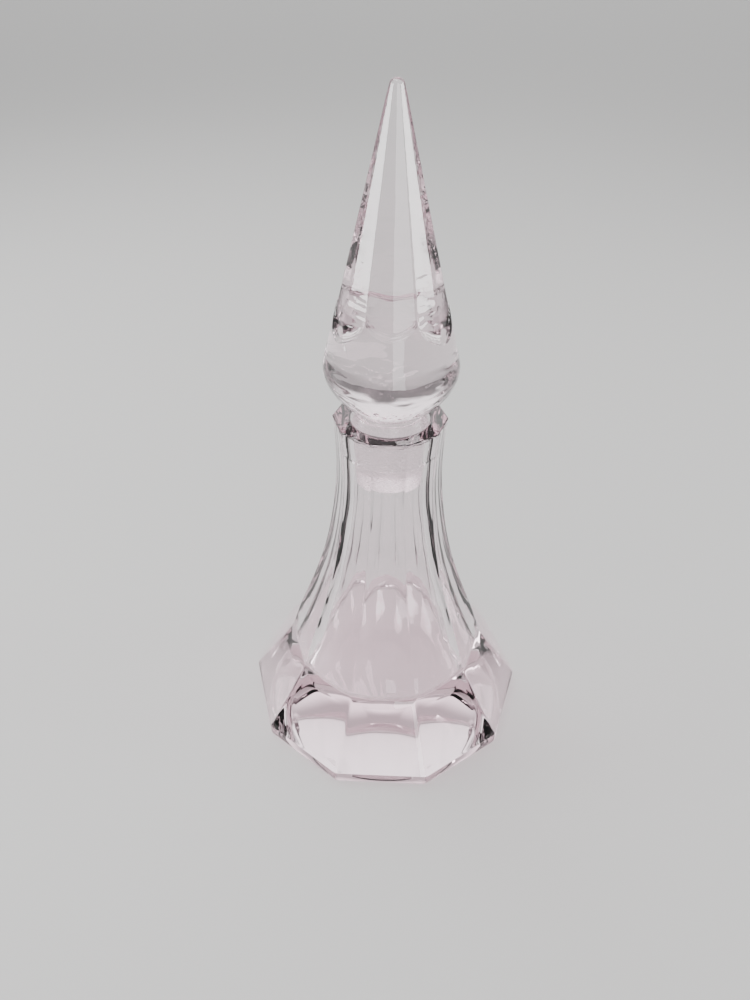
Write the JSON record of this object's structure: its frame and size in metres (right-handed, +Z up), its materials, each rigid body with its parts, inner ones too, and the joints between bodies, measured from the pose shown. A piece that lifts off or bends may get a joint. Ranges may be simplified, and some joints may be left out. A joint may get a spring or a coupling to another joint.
{
  "type": "perfume bottle",
  "caption": "Faceted clear crystal perfume bottle with a flared panelled body, slanted foot panels and a tall pyramid stopper that lifts out of a ground mouth.",
  "frame": {"origin": "middle of the foot's flat underside", "axes": "+Z up along the common axis of bottle and stopper, one flat panel of the bottle faces -Y"},
  "size_m": [0.0868, 0.0826, 0.1781],
  "materials": {
    "bottle_crystal": "clear cut crystal with a faint lilac tint, polished, with a ground matt band inside the mouth",
    "stopper_crystal": "clear cut crystal with a faint lilac tint, polished, with a ground matt white plug"
  },
  "bodies": {
    "bottle": {"bottle": "bottle_crystal"},
    "stopper": {"stopper": "stopper_crystal"}
  },
  "joints": [
    {"name": "stopper_lift", "type": "slide", "parent": "bottle", "child": "stopper", "axis": [0, 0, 1], "range_m": [0, 0.05]}
  ]
}
